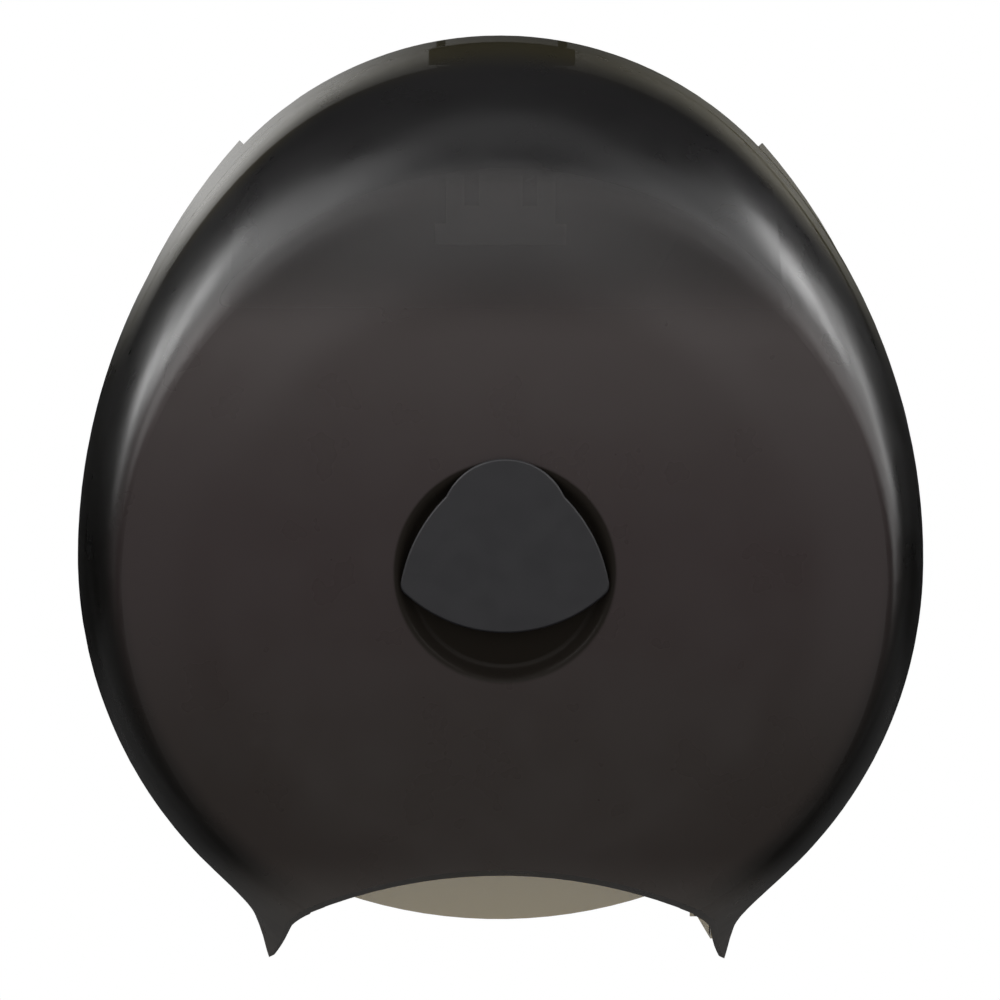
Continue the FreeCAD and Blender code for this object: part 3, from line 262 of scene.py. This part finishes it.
def makeCoverResin():
    resin = coverResin
    finish, tree, shader = newFinish("smokedCover")
    space, (x, y, z) = splitSpace(tree)
    thinGlow = thinGlowPlaces(tree, x, y, z)
    face = zone(tree, fromPoint(tree, x, z, resin["faceCenter"])[0], resin["faceRadius"])
    fromAxis = fromPoint(tree, x, z, 0)[0]
    cup = zone(tree, fromAxis, resin["cupRadius"])
    cupWall = zone(tree, fromAxis, resin["cupWallRadius"])

    alpha = zone(tree, z, resin["alphaHeight"], resin["lowAlpha"], resin["highAlpha"])
    alpha = mixFloat(tree, face, resin["wallAlpha"], alpha)
    alpha = mixFloat(tree, zone(tree, z, resin["footHeight"]), alpha, resin["footAlpha"])
    alpha = mixFloat(tree, cup, alpha, resin["footAlpha"])
    # painted light: the left shoulder more see-through than the right
    thinGlowAlpha = zone(tree, x, resin["thinGlowAcross"], *resin["thinGlowAlpha"])
    feed(tree, shader.inputs["Alpha"], mixFloat(tree, thinGlow, alpha, thinGlowAlpha))

    shift = mathNode(tree, "MULTIPLY", cloud(tree, space, resin["cloud"]), resin["cloudShift"] * mm)
    level = mathNode(tree, "ADD", z, shift)
    # painted light and shade: the colour changes with height, lighter on the upper face and darker
    # at the crest
    color = resin["lower"]
    color = mixColor(tree, zone(tree, level, resin["lowerToMiddle"]), color, resin["middle"])
    color = mixColor(tree, zone(tree, level, resin["middleToUpper"]), color, resin["upper"])
    color = mixColor(tree, zone(tree, level, resin["upperToCrest"]), color, resin["crest"])
    # painted shade on the side wall, outside the face
    wall = mixColor(tree, zone(tree, z, resin["edgeToCrown"]), resin["edge"], resin["crown"])
    color = mixColor(tree, face, wall, color)
    # painted reflection of the floor, lighter towards the tips of the feet
    color = mixColor(tree, zone(tree, z, resin["lowerToTip"]), color, resin["tip"])
    # painted shadow in the recess under the cap
    color = mixColor(tree, cup, color, mixColor(tree, cupWall, resin["cup"], resin["cupWall"]))
    # painted light shining through the thin resin of the shoulders
    feed(tree, shader.inputs["Base Color"], mixColor(tree, thinGlow, color, resin["thinGlow"]))

    roughen(tree, shader, cloud(tree, space, resin["roughCloud"]), resin["roughness"])
    # less gloss in the recess, part of its painted shadow
    feed(tree, shader.inputs["Specular IOR Level"], mixFloat(tree, cup, *resin["cupGloss"]))
    feed(tree, shader.inputs["IOR"], resin["ior"])
    grain(tree, shader, space, resin["grain"], softShoulder(tree, x, z))
    return finish


# The same resin in the back plate, warmer and finely matt, painted dark as shade inside an oval
# whose half width and half height are given, behind the cover, and painted pale with light along
# its lower lip

plateResin = {
    "deep": (0.1, 0.085, 0.05),
    "pale": (0.12, 0.1, 0.06),
    # painted light: the lower lip below the cover is much paler than the same resin elsewhere
    "lip": (0.42, 0.32, 0.115), "lipHeight": (-100, -122),
    # painted shade: the plate behind the cover is darker and nearly opaque
    "pad": (0.02, 0.0175, 0.0145), "padHeight": (-128, -108), "padEdge": (1.12, 0.9),
    "oval": (150, 172), "ovalCenter": 20,
    "alpha": 0.66, "padAlpha": 0.97,
    "cloud": 18.0,
    "roughness": (0.38, 0.5), "roughCloud": 60.0,
    "ior": 1.34,
    "grain": (1800.0, 0.00003, 0.5),
}


def makePlateResin():
    resin = plateResin
    finish, tree, shader = newFinish("smokedPlate")
    space, (x, y, z) = splitSpace(tree)
    halfWidth, halfHeight = resin["oval"]
    across = mathNode(tree, "DIVIDE", x, halfWidth * mm)
    lifted = mathNode(tree, "SUBTRACT", z, resin["ovalCenter"] * mm)
    along = mathNode(tree, "DIVIDE", lifted, halfHeight * mm)
    inside = fade(tree, hypotenuse(tree, across, along), *resin["padEdge"])
    # painted shade behind the cover: the plate inside the oval, above the mouth
    pad = mathNode(tree, "MULTIPLY", inside, zone(tree, z, resin["padHeight"]))
    flow = mixColor(tree, cloud(tree, space, resin["cloud"]), resin["deep"], resin["pale"])
    # painted light: the lower lip paler than the rest of the plate
    flow = mixColor(tree, zone(tree, z, resin["lipHeight"]), flow, resin["lip"])
    # painted shade behind the cover, darker and nearly opaque
    feed(tree, shader.inputs["Base Color"], mixColor(tree, pad, flow, resin["pad"]))
    feed(tree, shader.inputs["Alpha"], mixFloat(tree, pad, resin["alpha"], resin["padAlpha"]))
    roughen(tree, shader, cloud(tree, space, resin["roughCloud"]), resin["roughness"])
    feed(tree, shader.inputs["IOR"], resin["ior"])
    grain(tree, shader, space, resin["grain"])
    return finish


# Opaque moulded plastics, and steels: turned pins, plated screws and spring wire

moulded = {"metal": 0.0, "cloud": 60.0, "roughCloud": (130.0, 3.0, (1, 1, 1)),
           "grain": (3200.0, 0.00003, 0.5)}
steel = {"metal": 1.0, "cloud": 240.0, "roughCloud": (900.0, 2.0, (1, 0.05, 1)),
         "grain": (1500.0, 0.00002, 0.5)}
opaque = {
    "cap_plastic": {"kind": moulded, "deep": (0.013, 0.0125, 0.0155),
                    "pale": (0.017, 0.016, 0.02), "roughness": (0.42, 0.52)},
    "black_plastic": {"kind": moulded, "deep": (0.013, 0.013, 0.014),
                      "pale": (0.022, 0.022, 0.023), "roughness": (0.38, 0.5)},
    "latch_plastic": {"kind": moulded, "deep": (0.4, 0.385, 0.375),
                      "pale": (0.48, 0.465, 0.455), "roughness": (0.4, 0.52)},
    "white_acetal": {"kind": moulded, "deep": (0.68, 0.68, 0.65),
                     "pale": (0.78, 0.78, 0.75), "roughness": (0.32, 0.42)},
    "zinc_steel": {"kind": steel, "deep": (0.55, 0.55, 0.52),
                   "pale": (0.72, 0.72, 0.69), "roughness": (0.28, 0.4)},
    "pin_steel": {"kind": steel, "deep": (0.5, 0.5, 0.5),
                  "pale": (0.62, 0.62, 0.62), "roughness": (0.2, 0.3)},
    "spring_steel": {"kind": steel, "deep": (0.38, 0.38, 0.39),
                     "pale": (0.5, 0.5, 0.51), "roughness": (0.22, 0.34)},
}


def makeOpaque(name):
    choice = opaque[name]
    kind = choice["kind"]
    finish, tree, shader = newFinish(name)
    space = objectSpace(tree)
    feed(tree, shader.inputs["Metallic"], kind["metal"])
    tint = mixColor(tree, cloud(tree, space, kind["cloud"]), choice["deep"], choice["pale"])
    feed(tree, shader.inputs["Base Color"], tint)
    roughen(tree, shader, cloud(tree, space, *kind["roughCloud"]), choice["roughness"])
    grain(tree, shader, space, kind["grain"])
    return finish


finishes = {"smoked_cover": makeCoverResin(), "smoked_plate": makePlateResin()}
for name in opaque:
    finishes[name] = makeOpaque(name)
for name, slot in slotOf.items():
    nodes[name].data.materials.clear()
    nodes[name].data.materials.append(finishes[slot])
print("finishes on", len(nodes), "parts")


# The mouth of the cover: a round tube that leans, in millimetres and degrees

mouth = {"radius": 205.87, "crown": -117.3, "front": -146.0, "slope": 11.5, "steps": 40}


def mouthWays(turn):
    # the way outward at that turn, the way of the axis, and the tube's own up
    lean = math.radians(mouth["slope"])
    way = Vector((0, -math.cos(lean), math.sin(lean)))
    up = Vector((0, math.sin(lean), math.cos(lean)))
    return up * math.cos(turn) + Vector((math.sin(turn), 0, 0)), way, up


def mouthPoint(turn, reach, depth):
    # a point of the tube at that turn and distance from its axis, depth mm back from the face
    out, way, up = mouthWays(turn)
    center = Vector((0, mouth["front"], mouth["crown"])) - up * mouth["radius"]
    point = center + out * reach
    return point + way * ((point.y - mouth["front"] - depth) / -way.y)


def loftRings(mesh, rings):
    rows = [[mesh.verts.new(point * mm) for point in ring] for ring in rings]
    for first, second in zip(rows, rows[1:]):
        for i in range(len(first)):
            j = (i + 1) % len(first)
            mesh.faces.new((first[i], first[j], second[j], second[i]))
    mesh.faces.new(rows[0][::-1])
    mesh.faces.new(rows[-1])


def meshObject(name, mesh):
    bmesh.ops.recalc_face_normals(mesh, faces=mesh.faces[:])
    data = bpy.data.meshes.new(name)
    mesh.to_mesh(data)
    mesh.free()
    return newObject(name, data)


# The cover as it is seen: its turned-in mouth lip is trimmed to one even band, and the knuckles
# of its hinges end flush with the feet

lipTrim = {
    "from": 30.0, "to": 79.0,  # how far aside the trim starts and ends
    "inside": 9, "outside": 3,  # how far it reaches on both sides of the mouth's own radius
    "front": 22.5, "back": 152.0,  # depths behind the face
    "knuckleOut": 104, "knuckleEnds": [(-28, -150, 99.15), (-28, -161, 93.05),
                                       (-16, -161, 95.15), (-16, -150, 100.05)],
    "weld": 2e-6,
}


def lipCutter():
    mesh = bmesh.new()
    low, high = (math.asin(lipTrim[end] / mouth["radius"]) for end in ("from", "to"))
    near, far = mouth["radius"] - lipTrim["inside"], mouth["radius"] + lipTrim["outside"]
    front, back = lipTrim["front"], lipTrim["back"]
    for side in (1, -1):
        rings = []
        for i in range(mouth["steps"] + 1):
            turn = side * (low + (high - low) * i / mouth["steps"])
            rings.append([mouthPoint(turn, near, front), mouthPoint(turn, far, front),
                          mouthPoint(turn, far, back), mouthPoint(turn, near, back)])
        loftRings(mesh, rings)
    for side in (1, -1):
        inner = [Vector((side * x, y, z)) for y, z, x in lipTrim["knuckleEnds"]]
        outer = [Vector((side * lipTrim["knuckleOut"], y, z)) for y, z, x in lipTrim["knuckleEnds"]]
        loftRings(mesh, [inner, outer])
    return meshObject("lipCutter", mesh)


sameCorner = {"reach": 2e-5, "likeness": 0.8}  # how near, and how much the same way a face looks


def carryNormals(source, target):
    # every corner takes the normal that it has in the CAD mesh, and cut faces stay flat
    corners = source.corner_normals
    known = [[] for vertex in source.vertices]
    for face in source.polygons:
        for i in face.loop_indices:
            pair = (face.normal.copy(), corners[i].vector.copy())
            known[source.loops[i].vertex_index].append(pair)
    places = KDTree(len(known))
    for i, vertex in enumerate(source.vertices):
        places.insert(vertex.co, i)
    places.balance()
    near = [[pair for place, i, gap in places.find_range(vertex.co, sameCorner["reach"])
             for pair in known[i]] for vertex in target.vertices]
    normals = []
    for face in target.polygons:
        for i in face.loop_indices:
            choices = near[target.loops[i].vertex_index]
            best = max(choices, key=lambda pair: pair[0].dot(face.normal), default=None)
            if best and best[0].dot(face.normal) > sameCorner["likeness"]:
                normals.append(best[1])
            else:
                normals.append(face.normal.copy())
    target.shade_smooth()
    target.normals_split_custom_set(normals)


def makeShownCover():
    cover = nodes["cover"]
    body = bmesh.new()
    body.from_mesh(cover.data)
    bmesh.ops.remove_doubles(body, verts=body.verts[:], dist=lipTrim["weld"])
    base = meshObject("coverBase", body)
    cutter = lipCutter()
    trim = base.modifiers.new("trim", "BOOLEAN")
    trim.object = cutter
    trim.operation = "DIFFERENCE"
    trim.solver = "EXACT"
    graph = bpy.context.evaluated_depsgraph_get()
    data = bpy.data.meshes.new_from_object(base.evaluated_get(graph), depsgraph=graph)
    shown = newObject("coverShell", data)
    for helper in (base, cutter):
        bpy.data.objects.remove(helper)
    carryNormals(cover.data, data)
    data.materials.clear()
    data.materials.append(finishes["smoked_cover"])
    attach(shown, "cover")
    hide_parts("cover")


# The lip runs on into both feet: the edge of the mouth is found on the cover, and a strip goes
# back from there, deeper beyond the turn deepFrom, but not into the room of the hinge

lipEnds = {
    "from": 20.0, "to": 26.4, "deepFrom": 21.6,
    "wall": 2.4, "band": 23.0, "deepBand": 28.0, "leastBand": 0.4, "hingeRoom": -37.0,
    "probeOut": 0.4, "probeFront": -300.0,  # from where the edge is looked for
    "edgeIn": 0.5, "edgeBack": 0.4,  # the strip starts so far inside that edge
    "sharpFrom": 35,
}


def lipRing(cover, turn):
    out, way, up = mouthWays(turn)
    start = mouthPoint(turn, mouth["radius"] + lipEnds["probeOut"], lipEnds["probeFront"])
    found = cover.ray_cast(start * mm, -way)[1] / mm
    edge = found - out * lipEnds["edgeIn"] - way * lipEnds["edgeBack"]
    deep = abs(turn) > math.radians(lipEnds["deepFrom"])
    band = min(lipEnds["deepBand" if deep else "band"], (lipEnds["hingeRoom"] - edge.y) / -way.y)
    back = edge - way * max(lipEnds["leastBand"], band)
    return [edge, edge + out * lipEnds["wall"], back + out * lipEnds["wall"], back]


def makeLipEnds():
    mesh = bmesh.new()
    start, end = lipEnds["from"], lipEnds["to"]
    for side in (1, -1):
        turns = [side * math.radians(start + (end - start) * i / mouth["steps"])
                 for i in range(mouth["steps"] + 1)]
        loftRings(mesh, [lipRing(nodes["cover"], turn) for turn in turns])
    strip = meshObject("mouthLipEnds", mesh)
    strip.data.materials.append(finishes["smoked_cover"])
    strip.data.shade_smooth()
    strip.data.set_sharp_from_angle(angle=math.radians(lipEnds["sharpFrom"]))
    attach(strip, "cover")


# The inner ends of the hinges are drawn together towards the feet, which hide them from the
# front as in the photo. What lies between inner and outer, below and in front, is drawn.

hingeEnds = {
    "outer": 88.8, "inner": 80.0, "share": 0.2, "below": -128.0, "front": -2.6,
    "bodies": {"back_plate": "plate", "hinge_bush_left": "plate", "hinge_bush_right": "plate",
               "hinge_pin_left": "cover", "hinge_pin_right": "cover"},
}


def slimHinge(name, body):
    data = nodes[name].data.copy()
    outer, inner = hingeEnds["outer"] * mm, hingeEnds["inner"] * mm
    below, front = hingeEnds["below"] * mm, hingeEnds["front"] * mm
    for vertex in data.vertices:
        aside = abs(vertex.co.x)
        if vertex.co.z < below and vertex.co.y < front and inner < aside < outer:
            slim = outer - (outer - aside) * hingeEnds["share"]
            vertex.co.x = math.copysign(slim, vertex.co.x)
    shown = newObject(name + "Shown", data)
    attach(shown, body)
    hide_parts(name)


bpy.context.view_layer.update()
makeLipEnds()
makeShownCover()
for name, body in hingeEnds["bodies"].items():
    slimHinge(name, body)
print("cover shell, mouth lip and hinge ends ready")


# Camera: a long lens, a little above and to the left of square on

shot = {
    "target": Vector((-0.77, -70.0, 24.37)) * mm,
    "azimuth": -1.0,
    "elevation": 3.0,
    "roll": 0.3,
    "distance": 2.6,
    "frameWidth": 403.2 * mm,
    "sensor": 36.0,
}


def wayFrom(azimuth, elevation):
    # 0 is straight out of the wall, and azimuth grows to the right as seen from the front
    turn, lift = math.radians(azimuth), math.radians(elevation)
    return Vector((math.sin(turn) * math.cos(lift), -math.cos(turn) * math.cos(lift),
                   math.sin(lift)))


def makeCamera():
    back = wayFrom(shot["azimuth"], shot["elevation"])
    data = bpy.data.cameras.new("photoCamera")
    data.sensor_width = shot["sensor"]
    data.sensor_fit = "HORIZONTAL"
    data.lens = shot["sensor"] * shot["distance"] / shot["frameWidth"]
    camera = newObject("photoCamera", data)
    camera.location = shot["target"] + back * shot["distance"]
    level = (-back).to_track_quat("-Z", "Y").to_matrix()
    roll = Matrix.Rotation(math.radians(shot["roll"]), 3, "Z")
    camera.rotation_euler = (level @ roll).to_euler()
    bpy.context.scene.camera = camera


makeCamera()


# Light: a soft box high up at each side, behind the wall plane and kept out of the reflections,
# and an even pale room that is plain white to the camera, in reflections and through resin

softBoxes = [
    {"name": "leftBox", "place": (-1.65, 0.35, 0.95), "size": (0.8, 1.0), "power": 4.0},
    {"name": "rightBox", "place": (1.6, 0.8, 0.62), "size": (0.75, 0.9), "power": 2.0},
]


def makeSoftBox(box):
    data = bpy.data.lights.new(box["name"], "AREA")
    data.shape = "RECTANGLE"
    data.size, data.size_y = box["size"]
    data.energy = box["power"]
    lamp = newObject(box["name"], data)
    lamp.location = box["place"]
    lamp.visible_glossy = False
    aim = Vector(partMiddle) - lamp.location
    lamp.rotation_euler = aim.to_track_quat("-Z", "Y").to_euler()


for box in softBoxes:
    makeSoftBox(box)

room = {"color": (1, 1, 1), "light": 0.6, "seen": 1.0}


def makeRoom():
    world = bpy.data.worlds.new("paleRoom")
    bpy.context.scene.world = world
    world.use_nodes = True
    tree = world.node_tree
    tree.nodes.clear()
    rays = addNode(tree, "ShaderNodeLightPath").outputs
    seen = mathNode(tree, "MAXIMUM", rays["Is Camera Ray"], rays["Is Glossy Ray"])
    seen = mathNode(tree, "MAXIMUM", seen, rays["Is Transmission Ray"])
    mix = addNode(tree, "ShaderNodeMixShader")
    feed(tree, mix.inputs[0], seen)
    for socket, strength in zip(mix.inputs[1:], (room["light"], room["seen"])):
        background = addNode(tree, "ShaderNodeBackground")
        feed(tree, background.inputs["Color"], room["color"])
        feed(tree, background.inputs["Strength"], strength)
        tree.links.new(background.outputs[0], socket)
    out = addNode(tree, "ShaderNodeOutputWorld")
    feed(tree, out.inputs[0], mix.outputs[0])


makeRoom()


def plainPlane(name, corners, finish):
    mesh = bpy.data.meshes.new(name)
    mesh.from_pydata(corners, [], [tuple(range(len(corners)))])
    mesh.materials.append(finish)
    plane = newObject(name, mesh)
    return plane


floor = {"height": -0.42, "half": 1.3, "color": (0.82, 0.82, 0.81), "roughness": 0.9}


def makeFloor():
    half, height = floor["half"], floor["height"]
    finish, tree, shader = newFinish("floor")
    feed(tree, shader.inputs["Base Color"], floor["color"])
    feed(tree, shader.inputs["Roughness"], floor["roughness"])
    corners = [(-half, -half), (half, -half), (half, half), (-half, half)]
    plainPlane("floor", [(x, y, height) for x, y in corners], finish)


makeFloor()


# Dark cards close the set all round for reflections only, so the edges of the cover stay deep.
# Soft glows on them, each given by the way in which it lies from the part, draw the highlights:
# full within the first angle of spread and gone at the second.

cards = {"left": -2.4, "right": 2.4, "near": -3.2, "back": 2.4, "low": -0.41, "high": 2.6,
         "lowGlow": 0.05}
glows = [
    {"name": "leftKey", "azimuth": -108, "elevation": 32, "spread": (2, 14), "strength": 7.7},
    {"name": "leftKeyFoot", "azimuth": -124, "elevation": 20, "spread": (1, 9), "strength": 6.0},
    {"name": "leftTail", "azimuth": -118, "elevation": 14, "spread": (2, 12), "strength": 1.3},
    {"name": "leftShoulder", "azimuth": -93, "elevation": 45, "spread": (2, 16), "strength": 2.8},
    {"name": "leftHigh", "azimuth": -64, "elevation": 55, "spread": (2, 20), "strength": 2.3},
    {"name": "leftWide", "azimuth": -70, "elevation": 30, "spread": (4, 24), "strength": 2.9},
    {"name": "leftLow", "azimuth": -95, "elevation": 12, "spread": (4, 22), "strength": 0.3},
    {"name": "leftFront", "azimuth": -40, "elevation": 38, "spread": (4, 26), "strength": 2.8},
    {"name": "overhead", "azimuth": 0, "elevation": 85, "spread": (4, 24), "strength": 0.54},
    {"name": "ceiling", "azimuth": 0, "elevation": 38, "spread": (4, 22), "strength": 1.85},
    {"name": "front", "azimuth": 0, "elevation": 16, "spread": (4, 20), "strength": 1.5},
    {"name": "behindTop", "azimuth": 180, "elevation": 50, "spread": (4, 24), "strength": 0.04},
    {"name": "frontLeft", "azimuth": -30, "elevation": 0, "spread": (4, 20), "strength": 0.42},
    {"name": "frontRight", "azimuth": 30, "elevation": 0, "spread": (4, 20), "strength": 0.58},
    {"name": "rightFront", "azimuth": 40, "elevation": 38, "spread": (4, 26), "strength": 2.0},
    {"name": "rightLow", "azimuth": 95, "elevation": 12, "spread": (4, 22), "strength": 2.0},
    {"name": "rightWide", "azimuth": 70, "elevation": 30, "spread": (4, 24), "strength": 2.4},
    {"name": "rightHigh", "azimuth": 62, "elevation": 55, "spread": (2, 20), "strength": 0.9},
    {"name": "rightShoulder", "azimuth": 92, "elevation": 45, "spread": (2, 16), "strength": 1.5},
    {"name": "rightKeyTop", "azimuth": 98, "elevation": 40, "spread": (1, 9), "strength": 4.2},
    {"name": "rightKey", "azimuth": 112, "elevation": 34, "spread": (1, 13), "strength": 9.4},
    {"name": "rightKeyFoot", "azimuth": 128, "elevation": 20, "spread": (1, 9), "strength": 3.0},
    {"name": "rightTail", "azimuth": 118, "elevation": 12, "spread": (2, 12), "strength": 2.6},
]


def cardFinish(name, base):
    finish, tree, shader = newFinish(name)
    offset = vectorNode(tree, "SUBTRACT", objectSpace(tree), partMiddle)[0]
    way = vectorNode(tree, "NORMALIZE", offset)[0]
    level = base
    for glow in glows:
        center = wayFrom(glow["azimuth"], glow["elevation"])
        near = vectorNode(tree, "DOT_PRODUCT", way, center, label=glow["name"])["Value"]
        inner, outer = (math.cos(math.radians(angle)) for angle in glow["spread"])
        lobe = fade(tree, near, outer, inner, 0.0, glow["strength"])
        level = mathNode(tree, "ADD", lobe, level)
    feed(tree, shader.inputs["Base Color"], (0, 0, 0))
    feed(tree, shader.inputs["Specular IOR Level"], 0)
    feed(tree, shader.inputs["Emission Color"], (1, 1, 1))
    feed(tree, shader.inputs["Emission Strength"], level)
    return finish


def glossyCard(name, corners, base=0.0):
    card = plainPlane(name, corners, cardFinish(name, base))
    card.visible_camera = False
    card.visible_diffuse = False
    card.visible_transmission = False
    card.visible_shadow = False


def upright(start, end):
    # the corners of a card that stands over the line between two places on the floor
    low, high = cards["low"], cards["high"]
    return [(*start, low), (*end, low), (*end, high), (*start, high)]


def makeCards():
    west, east, near, back = (cards[side] for side in ("left", "right", "near", "back"))
    glossyCard("cardLeft", upright((west, near), (west, back)))
    glossyCard("cardRight", upright((east, near), (east, back)))
    glossyCard("cardNear", upright((west, near), (east, near)))
    glossyCard("cardBehind", upright((west, back), (east, back)))
    corners = [(west, near), (east, near), (east, back), (west, back)]
    glossyCard("cardAbove", [(*corner, cards["high"]) for corner in corners])
    glossyCard("cardBelow", [(*corner, cards["low"]) for corner in corners], cards["lowGlow"])


makeCards()
print("light and camera ready")

bpy.context.scene.view_settings.view_transform = "Standard"
